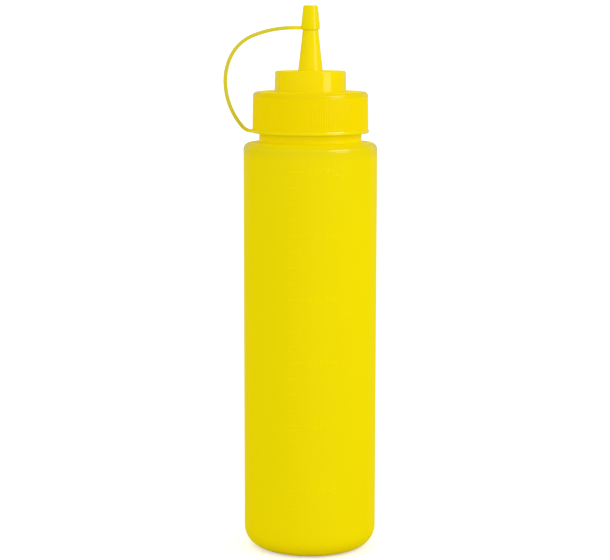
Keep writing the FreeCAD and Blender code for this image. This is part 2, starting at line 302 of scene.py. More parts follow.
def moulding_group() -> bpy.types.NodeTree:
    """Group that gives moulded plastic its slow tone shifts, uneven roughness and fine grain.

    Colour = mix(colour, thin colour, slow noise); roughness = middle + spread x (slow noise - 0.5);
    height = fine noise + waviness x slow noise.

    Returns:
        The node group.
    """
    group = bpy.data.node_groups.new("moulded_skin", "ShaderNodeTree")
    face = group.interface
    for name, way, kind in (
        ("Vector", "INPUT", "Vector"),
        ("Colour", "INPUT", "Color"),
        ("Thin Colour", "INPUT", "Color"),
        ("Tone Scale", "INPUT", "Float"),
        ("Middle Roughness", "INPUT", "Float"),
        ("Roughness Spread", "INPUT", "Float"),
        ("Grain Scale", "INPUT", "Float"),
        ("Waviness", "INPUT", "Float"),
        ("Colour", "OUTPUT", "Color"),
        ("Roughness", "OUTPUT", "Float"),
        ("Height", "OUTPUT", "Float"),
    ):
        face.new_socket(name, in_out=way, socket_type=f"NodeSocket{kind}")
    nodes, links = group.nodes, group.links
    inward, outward = nodes.new("NodeGroupInput"), nodes.new("NodeGroupOutput")

    def noise(scale_socket: str, detail: float) -> bpy.types.NodeSocket:
        """A noise texture on the group's vector.

        Args:
            scale_socket: the group's input that gives the scale.
            detail: how many finer layers it has.

        Returns:
            Its value, from 0 to 1.
        """
        texture = nodes.new("ShaderNodeTexNoise")
        texture.inputs["Detail"].default_value = detail
        links.new(inward.outputs["Vector"], texture.inputs["Vector"])
        links.new(inward.outputs[scale_socket], texture.inputs["Scale"])
        return texture.outputs["Fac"]

    def maths(operation: str, *values: bpy.types.NodeSocket | float) -> bpy.types.NodeSocket:
        """A Math node.

        Args:
            operation: what it does.
            values: sockets and numbers that go in.

        Returns:
            Its output.
        """
        node = nodes.new("ShaderNodeMath")
        node.operation = operation
        for index, item in enumerate(values):
            if isinstance(item, float):
                node.inputs[index].default_value = item
            else:
                links.new(item, node.inputs[index])
        return node.outputs[0]

    slow, fine = noise("Tone Scale", 2.0), noise("Grain Scale", 3.0)
    blend = nodes.new("ShaderNodeMix")
    blend.data_type = "RGBA"
    links.new(slow, blend.inputs["Factor"])
    links.new(inward.outputs["Colour"], blend.inputs["A"])
    links.new(inward.outputs["Thin Colour"], blend.inputs["B"])
    links.new(blend.outputs["Result"], outward.inputs["Colour"])
    spread, middle = inward.outputs["Roughness Spread"], inward.outputs["Middle Roughness"]
    uneven = maths("MULTIPLY_ADD", maths("SUBTRACT", slow, 0.5), spread, middle)
    links.new(uneven, outward.inputs["Roughness"])
    height = maths("MULTIPLY_ADD", slow, inward.outputs["Waviness"], fine)
    links.new(height, outward.inputs["Height"])
    return group


@dataclass(frozen=True)
class MouldedPlastic:
    """A finish of coloured polyethylene: an even body colour under a thin glossy skin.

    Args:
        name: the material's name.
        colour: main colour, linear RGB.
        thin: colour where the moulding looks a little thinner and brighter.
        clear: second colour, reached where the mesh says so: a lighter yellow that paints light on
            bottle and cap, a darker olive along the strap.
        skin_roughness: roughness of the glossy skin, whose weight the mesh gives.
        skin_ior: refractive index of that skin.
        body_roughness: middle roughness of the body under it.
        spread: how far the body's roughness strays in all.
        tone_scale: scale of the slow shifts in tone, per metre.
        grain_scale: scale of the fine grain, per metre.
        waviness: share of slow waves in the bump.
        bump: height of the bump, in metres.
    """

    name: str
    colour: tuple[float, float, float]
    thin: tuple[float, float, float]
    clear: tuple[float, float, float]
    skin_roughness: float = 0.09
    skin_ior: float = 1.7
    body_roughness: float = 0.5
    spread: float = 0.06
    tone_scale: float = 18.0
    grain_scale: float = 1600.0
    waviness: float = 1.0
    bump: float = 0.00001

    def build(self, group: bpy.types.NodeTree) -> bpy.types.Material:
        """Make the material on Object coordinates; only the skin mirrors anything.

        Args:
            group: the moulded skin group.

        Returns:
            The material.
        """
        material = bpy.data.materials.new(self.name)
        material.use_nodes = True
        nodes, links = material.node_tree.nodes, material.node_tree.links
        shader = nodes["Principled BSDF"]
        shader.inputs["Specular IOR Level"].default_value = 0.0
        shader.inputs["Coat Roughness"].default_value = self.skin_roughness
        shader.inputs["Coat IOR"].default_value = self.skin_ior
        place = nodes.new("ShaderNodeTexCoord")
        skin = nodes.new("ShaderNodeGroup")
        skin.node_tree = group
        for socket, value in (
            ("Colour", (*self.colour, 1.0)),
            ("Thin Colour", (*self.thin, 1.0)),
            ("Tone Scale", self.tone_scale),
            ("Middle Roughness", self.body_roughness),
            ("Roughness Spread", self.spread),
            ("Grain Scale", self.grain_scale),
            ("Waviness", self.waviness),
        ):
            skin.inputs[socket].default_value = value
        links.new(place.outputs["Object"], skin.inputs["Vector"])
        clear, gloss = nodes.new("ShaderNodeAttribute"), nodes.new("ShaderNodeAttribute")
        clear.attribute_name, gloss.attribute_name = PAINTED_LIGHT_AND_TINT, GLOSS
        # Mixes in the second colour by the mesh's share: painted light on bottle and cap, the
        # strap's darker olive tint.
        blend = nodes.new("ShaderNodeMix")
        blend.data_type = "RGBA"
        blend.inputs["B"].default_value = (*self.clear, 1.0)
        links.new(clear.outputs["Fac"], blend.inputs["Factor"])
        links.new(skin.outputs["Colour"], blend.inputs["A"])
        links.new(blend.outputs["Result"], shader.inputs["Base Color"])
        links.new(gloss.outputs["Fac"], shader.inputs["Coat Weight"])
        bump = nodes.new("ShaderNodeBump")
        bump.inputs["Strength"].default_value = 1.0
        bump.inputs["Distance"].default_value = self.bump
        links.new(skin.outputs["Roughness"], shader.inputs["Roughness"])
        links.new(skin.outputs["Height"], bump.inputs["Height"])
        links.new(bump.outputs["Normal"], shader.inputs["Normal"])
        return material


BOTTLE_FINISH = MouldedPlastic(
    "bottle_polyethylene",
    colour=(0.865, 0.70, 0.0),
    thin=(0.88, 0.715, 0.0),
    # Lighter yellow: painted light on the neck, the shoulder's level faces and the scale's raised
    # strokes.
    clear=(1.0, 0.85, 0.0),
    skin_roughness=0.12,
)
CAP_FINISH = MouldedPlastic(
    "cap_polyethylene",
    colour=(0.895, 0.675, 0.0),
    thin=(0.91, 0.69, 0.0),
    # Lighter yellow: painted light on the collar, the nozzle and the level faces at the deck.
    clear=(0.98, 0.80, 0.0),
)
TETHER_FINISH = MouldedPlastic(
    "tether_polyethylene",
    colour=(0.93, 0.75, 0.0),
    thin=(0.945, 0.765, 0.0),
    # Darker olive tint along the strap's middle.
    clear=(0.69, 0.60, 0.03),
)


# ---- graduation


Path = np.ndarray
BOW_STEP = 18.0


def straight(*ends: tuple[float, float]) -> list[Path]:
    """One stroke of straight runs through the points of a glyph box one wide and one high."""
    return [np.array(ends)]


def bow(
    centre: tuple[float, float], radii: tuple[float, float], start: float, end: float
) -> list[Path]:
    """One curved stroke: centre + radii x (cos t, sin t), t in degrees from start to end."""
    turn = np.radians(np.linspace(start, end, max(5, math.ceil(abs(end - start) / BOW_STEP))))
    return [np.array(centre) + np.array(radii) * np.column_stack([np.cos(turn), np.sin(turn)])]


def glyph_strokes() -> dict[str, list[Path]]:
    """Strokes of the scale's plain numerals and letters, in a box one wide and one high.

    Returns:
        The strokes of each character.
    """
    return {
        "0": bow((0.5, 0.5), (0.5, 0.5), 0, 360),
        "1": straight((0.1, 0.78), (0.55, 1.0), (0.55, 0.0)),
        "2": bow((0.5, 0.72), (0.46, 0.28), 165, -25)
        + straight((0.92, 0.6), (0.05, 0.0), (0.98, 0.0)),
        "3": bow((0.48, 0.75), (0.42, 0.25), 150, -90) + bow((0.48, 0.26), (0.5, 0.26), 90, -150),
        "4": straight((0.72, 0.0), (0.72, 1.0), (0.02, 0.28), (1.0, 0.28)),
        "5": straight((0.92, 1.0), (0.16, 1.0), (0.1, 0.55))
        + bow((0.47, 0.32), (0.5, 0.32), 140, -150),
        "6": bow((0.5, 0.3), (0.48, 0.3), 0, 360) + bow((0.72, 0.42), (0.7, 0.58), 90, 180),
        "M": straight((0.0, 0.0), (0.0, 1.0), (0.5, 0.25), (1.0, 1.0), (1.0, 0.0)),
        "L": straight((0.05, 1.0), (0.05, 0.0), (0.95, 0.0)),
    }


GLYPH_WIDTHS = {"1": 1.5, "M": 3.2, "L": 1.8}


@dataclass
class Graduation:
    """The scale moulded on the front, with x measured round the wall from the middle."""

    wall_radius: float = 32.95
    top_volume: int = 600
    volume_step: int = 25
    label_step: int = 100
    upper_marks: int = 20
    lower_marks: int = 4
    top_mark: float = 190.9
    hundred_mark: float = 35.1
    upper_pitch: float = 7.71
    lower_pitch: float = 6.8
    tick_left: float = -10.0
    short_tick: float = 3.2
    long_tick: float = 6.1
    label_left: float = -1.5
    glyph_width: float = 2.1
    glyph_height: float = 3.3
    letter_gap: float = 1.15
    half_width: float = 0.5
    height: float = 0.14
    # Share of the lighter colour on the raised strokes: a painted highlight.
    clear: float = 0.25
    spacing: float = 0.235
    margin: float = 0.8
    label_run: float = 17.5
    tick_margin: float = 0.6
    tick_rows: int = 7

    def marks(self) -> list[tuple[int, float, bool]]:
        """All marks of the scale, one volume step apart; the lowest ones stand closer together.

        Returns:
            Each mark's volume and height, and whether it carries a label.
        """
        found = []
        for volume, level, pitch, count in (
            (self.top_volume, self.top_mark, self.upper_pitch, self.upper_marks),
            (self.label_step, self.hundred_mark, self.lower_pitch, self.lower_marks),
        ):
            for index in range(count):
                millilitres = volume - self.volume_step * index
                is_major = millilitres % self.label_step == 0
                found.append((millilitres, level - pitch * index, is_major))
        return found

    def angles(self) -> np.ndarray:
        """Close angles over the width of ticks and labels."""
        first, last = self.tick_left - self.margin, self.label_left + self.label_run
        return np.arange(first, last, self.spacing) / self.wall_radius - math.pi / 2

    def rows(self) -> np.ndarray:
        """Close heights at every mark.

        Returns:
            Heights over the label's height where there is one, and over the tick's elsewhere.
        """
        tall = self.glyph_height + 2 * self.margin
        label = np.arange(-0.5, 0.5 + SLACK, self.spacing / tall) * tall
        tick = np.linspace(-self.tick_margin, self.tick_margin, self.tick_rows)
        marks = self.marks()
        return np.concatenate([level + (label if major else tick) for _, level, major in marks])

    def strokes(self) -> list[Path]:
        """Centre lines of all ticks and label strokes.

        Returns:
            The lines, each (n, 2) in arc and height.
        """
        glyphs, found = glyph_strokes(), []
        for volume, level, is_major in self.marks():
            length = self.long_tick if is_major else self.short_tick
            found.append(np.array([(self.tick_left, level), (self.tick_left + length, level)]))
            left = self.label_left
            for letter in f"{volume}ML" if is_major else "":
                box = np.array([GLYPH_WIDTHS.get(letter, self.glyph_width), self.glyph_height])
                corner = np.array([left, level - self.glyph_height / 2])
                found.extend(corner + stroke * box for stroke in glyphs[letter])
                left += box[0] + self.letter_gap
        return found

    def share(self, angles: np.ndarray, heights: np.ndarray) -> np.ndarray:
        """Share of the full relief at each point of the wall's grid.

        It is (1 - (d / w)^2)^2 for a distance d to the nearest stroke under the half width w, and
        0 beyond. The distance to a run from p to q is |v - t u|, with v from p to the point,
        u = q - p and t = v . u / u . u held between 0 and 1.

        Args:
            angles: (m,) angles about Z.
            heights: (n,) heights, in millimetres.

        Returns:
            (n, m) shares from 0 to 1.
        """
        arc = ((angles + 1.5 * math.pi) % TURN - math.pi) * self.wall_radius
        share = np.zeros((len(heights), len(angles)))
        for path in self.strokes():
            low, high = path.min(axis=0) - self.half_width, path.max(axis=0) + self.half_width
            columns = np.flatnonzero((arc > low[0]) & (arc < high[0]))
            rows = np.flatnonzero((heights > low[1]) & (heights < high[1]))
            spots = np.stack(np.meshgrid(arc[columns], heights[rows]), axis=2)[:, :, None, :]
            run = np.diff(path, axis=0)
            from_start = spots - path[:-1]
            along = np.clip((from_start * run).sum(axis=3) / (run * run).sum(axis=1), 0, 1)
            off = np.linalg.norm(from_start - along[..., None] * run, axis=3).min(axis=2)
            bump = np.clip(1 - (off / self.half_width) ** 2, 0, 1) ** 2
            share[np.ix_(rows, columns)] = np.maximum(share[np.ix_(rows, columns)], bump)
        return share


# ---- bottle


@dataclass
class Bottle:
    """The blow-moulded bottle."""

    body_radius: float = 33.0
    body_height: float = 203.9
    base_corner: float = 10.0
    stand_width: float = 4.0
    push_up_depth: float = 1.6
    push_up_slant: float = 3.0
    push_up_round: float = 1.2
    shoulder_slope: float = 7.0
    shoulder_corner: float = 3.4
    neck_radius: float = 25.2
    neck_root: float = 1.2
    neck_top: float = 226.4
    neck_lip: float = 0.6
    seam_height: float = 0.05
    seam_width: float = 0.35
    seam_reach: float = 1.5
    seam_columns: int = 9
    seam_inset: float = 0.5
    seam_margin: float = 2.0
    pinch_length: float = 26.0
    pinch_width: float = 0.9
    pinch_height: float = 0.4
    pinch_rows: int = 41
    pinch_columns: int = 12
    columns: int = 96
    # The wall is nearly matt, the shoulder's rounding glossy and the neck nearly matt again.
    gloss_levels: tuple[float, ...] = (150.0, 197.0, 200.0, 203.7, 204.5)
    gloss_shares: tuple[float, ...] = (0.14, 0.3, 1.0, 1.0, 0.15)
    # Painted light: the shaded neck under the ring and the shoulder's level faces above neck_from
    # take the lighter colour.
    neck_from: float = 195.0
    neck_painted_glow: float = 0.75
    shoulder_painted_light: float = 0.9
    scale: Graduation = field(default_factory=Graduation)

    def outline(self) -> np.ndarray:
        """Outline from the pushed-up centre round the wall to the middle of the closed mouth.

        Returns:
            (n, 2) distances and heights.
        """
        mouth = self.body_radius - self.base_corner - self.stand_width
        drop = (self.body_radius - self.neck_radius) * math.tan(math.radians(self.shoulder_slope))
        wall = self.body_radius - self.seam_height
        return rounded_outline(
            [
                Corner(0.0, self.push_up_depth),
                Corner(mouth - self.push_up_slant, self.push_up_depth, self.push_up_round),
                Corner(mouth, 0.0, self.push_up_round),
                Corner(wall, 0.0, self.base_corner),
                Corner(wall, self.body_height - drop, self.shoulder_corner),
                Corner(self.neck_radius, self.body_height, self.neck_root),
                Corner(self.neck_radius, self.neck_top, self.neck_lip),
                Corner(0.0, self.neck_top),
            ],
            closed=False,
            step_deg=5.0,
        )

    def angles(self) -> np.ndarray:
        """Angles about Z, close at the scale and where the mould's halves meet, at +X and -X.

        Returns:
            The angles in rising order, in radians.
        """
        near = np.linspace(-self.seam_reach, self.seam_reach, self.seam_columns)
        near = near * self.seam_width / self.body_radius
        even = even_angles(self.columns)
        spots = np.concatenate([even, near, near + math.pi, self.scale.angles()])
        return np.unique(np.round(spots % TURN, 5))

    def with_scale_rows(self, outline: np.ndarray) -> np.ndarray:
        """Put close rows into the outline's straight wall at every mark of the scale.

        Args:
            outline: (n, 2) distances and heights.

        Returns:
            The longer outline.
        """
        wall = np.flatnonzero(outline[:, 0] > self.body_radius - self.seam_height - SLACK)
        first, last = wall[0], wall[-1]
        levels = self.scale.rows()
        inside = levels[(levels > outline[first, 1]) & (levels < outline[last, 1])]
        levels = np.unique(np.round(np.concatenate([outline[first : last + 1, 1], inside]), 3))
        upright = np.column_stack([np.full(len(levels), outline[first, 0]), levels])
        return np.vstack([outline[:first], upright, outline[last + 1 :]])

    def seam(self, outline: np.ndarray, angles: np.ndarray) -> np.ndarray:
        """Height of the parting line, on the outside only.

        It is a bell, exp(-(distance from the line / half its width)^2).

        Args:
            outline: (n, 2) distances and heights.
            angles: (m,) angles about Z.

        Returns:
            (n, m) heights.
        """
        off_line = np.abs(np.sin(angles)) * self.body_radius
        bell = np.exp(-((off_line / (0.5 * self.seam_width)) ** 2))
        outside = outline[:, 0] > self.neck_radius - self.seam_inset
        outside &= outline[:, 1] < self.neck_top - self.seam_margin
        return np.outer(outside.astype(float), bell) * self.seam_height

    def pinch_line(self) -> np.ndarray:
        """Low ridge across the pushed-up base, where the mould pinched the tube off.

        Its half width and its drop shrink as sqrt(1 - t^4) towards its ends at t = -1 and 1.

        Returns:
            (n, m, 3) points in metres.
        """
        along = np.linspace(-1, 1, self.pinch_rows)
        round_it = np.linspace(0, TURN, self.pinch_columns + 1)[:-1]
        taper = np.sqrt(np.clip(1 - along**4, 0, 1))
        x = np.repeat((along * self.pinch_length / 2)[:, None], len(round_it), axis=1)
        y = np.outer(taper, np.cos(round_it)) * self.pinch_width / 2
        z = self.push_up_depth + np.outer(taper, np.sin(round_it)) * self.pinch_height
        return np.stack([x, y, z], axis=2) * MM

    def build(self, material: bpy.types.Material) -> None:
        """Make the bottle's shell with its scale, and the pinch-off line, as one piece.

        Args:
            material: the bottle's plastic.
        """
        outline, angles = self.with_scale_rows(self.outline()), self.angles()
        share = self.scale.share(angles, outline[:, 1])
        steep, top = gloss_by_slope(outline), outline[:, 1] > self.neck_from
        # Painted light: lighter colour on the neck in the ring's shade and on the shoulder's level
        # faces.
        on_neck = top & (outline[:, 0] < self.neck_radius + self.neck_root)
        bright = np.maximum(on_neck * self.neck_painted_glow, top * (1 - steep) * self.shoulder_painted_light)
        # The scale's raised strokes take a share of it too, as a painted highlight.
        clear = np.maximum(share * self.scale.clear, bright[:, None])
        gloss = np.interp(outline[:, 1], self.gloss_levels, self.gloss_shares) * steep
        work = Patchwork()
        swell = self.seam(outline, angles) + share * self.scale.height
        work.add_grid(turned(outline, angles, swell), clear=clear, gloss=gloss[:, None])
        work.add_grid(self.pinch_line(), gloss=self.gloss_shares[0])
        settle(work.to_object("bottle_shell"), material, Slot.BOTTLE.value, "bottle")


# ---- screw cap


@dataclass
class ScrewCap:
    """Skirt, deck, collar and nozzle in one moulding."""

    skirt_low: float = 209.8
    skirt_inside: float = 26.5
    skirt_radius: float = 28.55
    cap_height: float = 18.4
    cap_draft: float = 1.0
    edge: float = 0.06
    deck_corner: float = 2.0
    deck_wall: float = 1.7
    collar_radius: float = 17.65
    collar_height: float = 10.1
    collar_draft: float = 1.7
    collar_corner: float = 0.95
    collar_root: float = 0.6
    collar_wall: float = 1.5
    nozzle_radius: float = 6.07
    nozzle_length: float = 30.4
    nozzle_taper: float = 6.3
    nozzle_root: float = 0.6
    nozzle_wall: float = 1.1
    nozzle_edge: float = 0.3
    rib_count: int = 144
    rib_depth: float = 0.09
    rib_low: float = 0.8
    rib_high: float = 3.0
    rib_runout: float = 0.8
    rib_gloss: float = 0.2
    rib_margin: float = 0.5
    rib_samples: int = 6
    # Painted light: share of the lighter colour on collar and nozzle, and how far below the deck
    # the level faces take it.
    collar_painted_light: float = 0.75
    deck_edge: float = 1.0

    @property
    def deck(self) -> float:
        """Height of the deck."""
        return self.skirt_low + self.cap_height

    @property
    def collar_top(self) -> float:
        """Height of the collar's top."""
        return self.deck + self.collar_height

    @property
    def rib_span(self) -> tuple[float, float]:
        """Levels at which the ribs begin and end."""
        return self.skirt_low + self.rib_low, self.deck - self.rib_high

    def skirt_at(self, level: float) -> float:
        """Outside of the drafted skirt at a level."""
        return self.skirt_radius - (level - self.skirt_low) * math.tan(math.radians(self.cap_draft))

    def nozzle_at(self, level: float) -> float:
        """Outside of the nozzle's cone at a level."""
        slope = math.tan(math.radians(self.nozzle_taper))
        return self.nozzle_radius - (level - self.collar_top) * slope

    def outline(self) -> np.ndarray:
        """Closed outline of the shell: skirt, deck, collar, nozzle, and back down the inside.

        Returns:
            (n, 2) distances and heights.
        """
        skirt_top = self.skirt_at(self.deck)
        collar_slant = self.collar_height * math.tan(math.radians(self.collar_draft))
        roof = self.collar_top - self.collar_wall
        tip = self.collar_top + self.nozzle_length
        under = self.deck - self.deck_wall
        low, high = self.rib_span
        rib_ends = (low, low + self.rib_runout, high - self.rib_runout, high)
        return rounded_outline(
            [
                Corner(self.skirt_inside, self.skirt_low),
                Corner(self.skirt_radius, self.skirt_low, self.edge),
                *(Corner(self.skirt_at(level), level) for level in rib_ends),
                Corner(skirt_top, self.deck, self.deck_corner),
                Corner(self.collar_radius, self.deck, self.collar_root),
                Corner(self.collar_radius - collar_slant, self.collar_top, self.collar_corner),
                Corner(self.nozzle_radius, self.collar_top, self.nozzle_root),
                Corner(self.nozzle_at(tip), tip, self.nozzle_edge),
                Corner(self.nozzle_at(tip) - self.nozzle_wall, tip),
                Corner(self.nozzle_at(roof) - self.nozzle_wall, roof),
                Corner(self.collar_radius - collar_slant - self.collar_wall, roof),
                Corner(self.collar_radius - self.collar_wall, under),
                Corner(self.skirt_inside, under),
            ],
            closed=True,
            run=5.0,
            step_deg=15.0,
        )

    def grip(self, outline: np.ndarray, angles: np.ndarray) -> np.ndarray:
        """Depth of the grooves between the ribs.

        Round the skirt it is depth x (half of 1 + cos(ribs x angle))^2, and it fades in and out
        over the run-out at both ends of the ribs.

        Args:
            outline: (n, 2) distances and heights.
            angles: (m,) angles about Z.

        Returns:
            (n, m) amounts, zero or negative.
        """
        low, high = self.rib_span
        height = outline[:, 1]
        fade = np.clip(np.minimum(height - low, high - height) / self.rib_runout, 0, 1)
        fade = fade * (outline[:, 0] > self.skirt_inside + self.rib_margin)
        wave = (0.5 + 0.5 * np.cos(self.rib_count * angles)) ** 2
        return -np.outer(fade, wave) * self.rib_depth

    def build(self, material: bpy.types.Material) -> None:
        """Make the whole cap as one closed piece.

        Args:
            material: the cap's plastic.
        """
        outline = self.outline()
        out, height = outline.T
        angles = even_angles(self.rib_count * self.rib_samples)
        ribbed = out > self.skirt_inside + self.rib_margin
        ribbed &= height < self.rib_span[1] + self.rib_margin
        steep = gloss_by_slope(outline)
        gloss = np.where(ribbed, self.rib_gloss, steep)
        # Painted light: the collar and nozzle, and the level faces from deck_edge below the deck
        # upwards, take the lighter colour.
        collar = (height > self.deck + 0.1) * self.collar_painted_light
        clear = np.maximum(collar, (height > self.deck - self.deck_edge) * (1 - steep))
        wall = turned(outline, angles, self.grip(outline, angles))
        work = Patchwork()
        work.add_grid(wall, wrap_rows=True, clear=clear[:, None], gloss=gloss[:, None])
        settle(work.to_object("ribbed_cap"), material, Slot.CAP.value, "screw_cap")


# ---- tip cap, strap and ring


@dataclass
class Tether:
    """Thimble, strap and neck ring in one soft moulding, for a given screw cap."""

    cap: ScrewCap
    ring_inside: float = 25.4
    ring_outside: float = 28.85
    ring_low: float = 208.0
    ring_thickness: float = 1.7
    ring_edge: float = 0.6
    ring_slope_run: float = 0.8
    ring_columns: int = 240
    tip_depth: float = 10.5
    tip_roof: float = 1.3
    tip_wall: float = 0.9
    tip_corner: float = 0.7
    tip_columns: int = 96
    fit_gap: float = 0.1
    lip_height: float = 2.8
    lip_edge: float = 0.25
    strap_width: float = 3.0
    strap_thickness: float = 1.8
    strap_bow: float = 12.95
    strap_waist: float = 24.5
    strap_lead: float = 4.0
    strap_first_turn: float = 21.7
    strap_bend_turn: float = 42.2
    strap_bend: float = 21.0
    strap_foot: float = 6.0
    strap_gloss: float = 0.3
    strap_columns: int = 32
    strap_power: float = 2 / 7
    lead_rows: int = 12
    toe_rows: int = 10
    arc_rows: int = 8
    arc_step: float = 0.6
    sunk: float = 0.1
    fade: float = 6.0
    fade_delay: float = 0.3
    foot_thinning: float = 0.1
    flare: float = 1.6
    flare_run: float = 2.2
    flare_inset: float = 0.2
    flare_steepness: float = 10.0
    foot_top: float = 215.0
    lip_reach: float = 20.0
    small_round: float = 0.15
    run: float = 1.5

    @property
    def ceiling(self) -> float:
        """Height of the thimble's ceiling inside."""
        return self.cap.collar_top + self.cap.nozzle_length + self.fit_gap

    @property
    def lip_low(self) -> float:
        """Height of the thimble's mouth."""
        return self.ceiling - self.tip_depth

    def outside(self, level: float) -> float:
        """Outside of the thimble's cone at a level."""
        return self.cap.nozzle_at(level) + self.fit_gap + self.tip_wall

    @property
    def lip_radius(self) -> float:
        """Outside of the straight band round the mouth."""
        return self.outside(self.lip_low + self.lip_height)

    def thimble(self) -> np.ndarray:
        """Turned surface from the ceiling inside, down the bore and up the outside to the top.

        Returns:
            (n, m, 3) points in metres.
        """
        top = self.ceiling + self.tip_roof
        bore = self.cap.nozzle_at(self.ceiling) + self.fit_gap
        mouth = self.cap.nozzle_at(self.lip_low) + self.fit_gap
        outline = rounded_outline(
            [
                Corner(0.0, self.ceiling),
                Corner(bore, self.ceiling, 2 * self.small_round),
                Corner(mouth, self.lip_low, self.small_round),
                Corner(self.lip_radius, self.lip_low, self.lip_edge),
                Corner(self.lip_radius, self.lip_low + self.lip_height, 2.0),
                Corner(self.outside(top), top, self.tip_corner),
                Corner(0.0, top),
            ],
            closed=False,
            run=self.run,
        )
        return turned(outline, even_angles(self.tip_columns))

    def ring(self) -> np.ndarray:
        """Turned surface of the flat neck ring, whose edge slopes out from the skirt's foot.

        Returns:
            (n, m, 3) points in metres.
        """
        top = self.cap.skirt_low
        outline = rounded_outline(
            [
                Corner(self.ring_inside, self.ring_low, self.small_round),
                Corner(self.ring_outside, self.ring_low, self.ring_edge),
                Corner(self.ring_outside, top - self.ring_slope_run, 2.0),
                Corner(self.cap.skirt_radius, top, 0.05),
                Corner(self.ring_inside, top, self.small_round),
            ],
            closed=True,
            run=self.run,
        )
        return turned(outline, even_angles(self.ring_columns))

    def route(self) -> tuple[np.ndarray, np.ndarray]:
        """Centre line of the strap, from inside the lip to inside the ring.

        A short straight lead, three tangent arcs to the widest point, a long arc down, a tight
        one and a level toe into the ring. The first and third radii solve run = sum of R (change
        of sin) and drop = sum of R (change of -cos); the long arc's follows from the tight one.

        Returns:
            (n, 2) points, x and z, and (n, 2) unit directions.
        """
        middle = self.lip_low + self.strap_thickness / 2
        ring_middle = self.ring_low + self.ring_thickness / 2
        first = math.radians(self.strap_first_turn)
        second = first + math.radians(self.strap_bend_turn)
        lead_end = -(self.lip_radius + self.strap_lead)
        widest = -(self.ring_outside + self.strap_bow)
        waist = ring_middle + self.strap_waist
        balance = np.array(
            [
                [math.sin(first), 1 - math.sin(second)],
                [1 - math.cos(first), math.cos(second)],
            ]
        )
        left = np.array(
            [
                lead_end - widest - self.strap_bend * (math.sin(second) - math.sin(first)),
                middle - waist - self.strap_bend * (math.cos(first) - math.cos(second)),
            ]
        )
        gentle, side = np.linalg.solve(balance, left)
        toe_x, foot = -self.ring_outside, self.strap_foot
        fall, inward = waist - ring_middle, toe_x - widest
        long = (fall**2 + inward**2 - 2 * fall * foot) / (2 * (inward - foot))
        foot_turn = math.atan2(fall - foot, widest + long - toe_x)
        spans = (
            (gentle, 0.0, first),
            (self.strap_bend, first, second),
            (side, second, math.pi / 2),
            (long, math.pi / 2, math.pi / 2 + foot_turn),
            (foot, math.pi / 2 + foot_turn, math.pi),
        )
        start = self.sunk - math.sqrt(self.lip_radius**2 - self.strap_width**2 / 4)
        lead = np.linspace(start, lead_end, self.lead_rows)
        spots = [np.column_stack([lead, np.full(len(lead), middle)])]
        ways = [np.tile([-1.0, 0.0], (len(lead), 1))]
        for radius, begin, end in spans:
            stops = max(self.arc_rows, math.ceil(radius * (end - begin) / self.arc_step))
            turn = np.linspace(begin, end, stops)[1:]
            step = [np.sin(begin) - np.sin(turn), np.cos(turn) - np.cos(begin)]
            spots.append(spots[-1][-1] + np.column_stack(step) * radius)
            ways.append(np.column_stack([-np.cos(turn), -np.sin(turn)]))
        toe = np.linspace(toe_x, -(self.ring_outside - self.ring_edge), self.toe_rows)[1:]
        spots.append(np.column_stack([toe, np.full(len(toe), ring_middle)]))
        ways.append(np.tile([1.0, 0.0], (len(toe), 1)))
        return np.vstack(spots), np.vstack(ways)

    def strap(self) -> tuple[np.ndarray, np.ndarray]:
        """The strap's rounded section carried along its route, and flared at the ring and the lip.

        The section is a rounded box, |x / a|^n + |y / b|^n = 1 with n = 2 / power. Within the
        flare's run of the ring the half width grows by flare x (1 - sqrt(1 - (1 - d / run)^2)),
        d from the ring; at the lip it grows by half as much, over 0.6 of the run.

        Returns:
            (n, m, 3) points, and the share of the strap's own colour in each of the n rows.
        """
        spots, ways = self.route()
        along = np.concatenate([[0.0], np.cumsum(np.linalg.norm(np.diff(spots, axis=0), axis=1))])
        out, up = -spots[:, 0], spots[:, 1]
        from_ring = np.maximum(out - (self.ring_outside - self.flare_inset), 0)
        from_ring += np.maximum(up - self.foot_top, 0) * self.flare_steepness
        from_lip = np.maximum(out - self.lip_radius, 0) + np.maximum(along - self.lip_reach, 0)
        ring_side = 1 - np.clip(from_ring / self.flare_run, 0, 1)
        lip_side = 1 - np.clip(from_lip / (0.6 * self.flare_run), 0, 1)
        grow = self.flare * (1 - np.sqrt(1 - ring_side**2))
        grow += 0.5 * self.flare * (1 - np.sqrt(1 - lip_side**2))
        turn = even_angles(self.strap_columns)
        waves = (np.cos(turn), np.sin(turn))
        box_y, box_n = (np.sign(wave) * np.abs(wave) ** self.strap_power for wave in waves)
        wide = np.outer(self.strap_width / 2 + grow, box_y)
        to_foot = np.clip((along[-1] - along) / self.fade, 0, 1)
        half = self.strap_thickness / 2 - (1 - to_foot) * self.foot_thinning
        thick = np.outer(half, box_n)
        normal = np.column_stack([-ways[:, 1], ways[:, 0]])
        x = spots[:, :1] + thick * normal[:, :1]
        z = spots[:, 1:] + thick * normal[:, 1:]
        from_tip = np.clip(along / self.fade - self.fade_delay, 0, 1)
        return np.stack([x, wide, z], axis=2) * MM, np.minimum(to_foot, from_tip)

    def build(self, material: bpy.types.Material) -> None:
        """Make ring, strap and thimble as one piece.

        Args:
            material: the tether's plastic.
        """
        work = Patchwork()
        work.add_grid(self.thimble())
        work.add_grid(self.ring(), wrap_rows=True)
        strap, clear = self.strap()
        first, last = (
            np.repeat(end.mean(axis=1, keepdims=True), strap.shape[1], axis=1)
            for end in (strap[:1], strap[-1:])
        )
        clear = np.pad(clear, 1, mode="edge")[:, None]
        grid = np.concatenate([first, strap, last])
        work.add_grid(grid, clear=clear, gloss=self.strap_gloss)
        settle(work.to_object("tethered_tip_cap"), material, Slot.TETHER.value, "tip_cap")


# ---- stage, light and camera


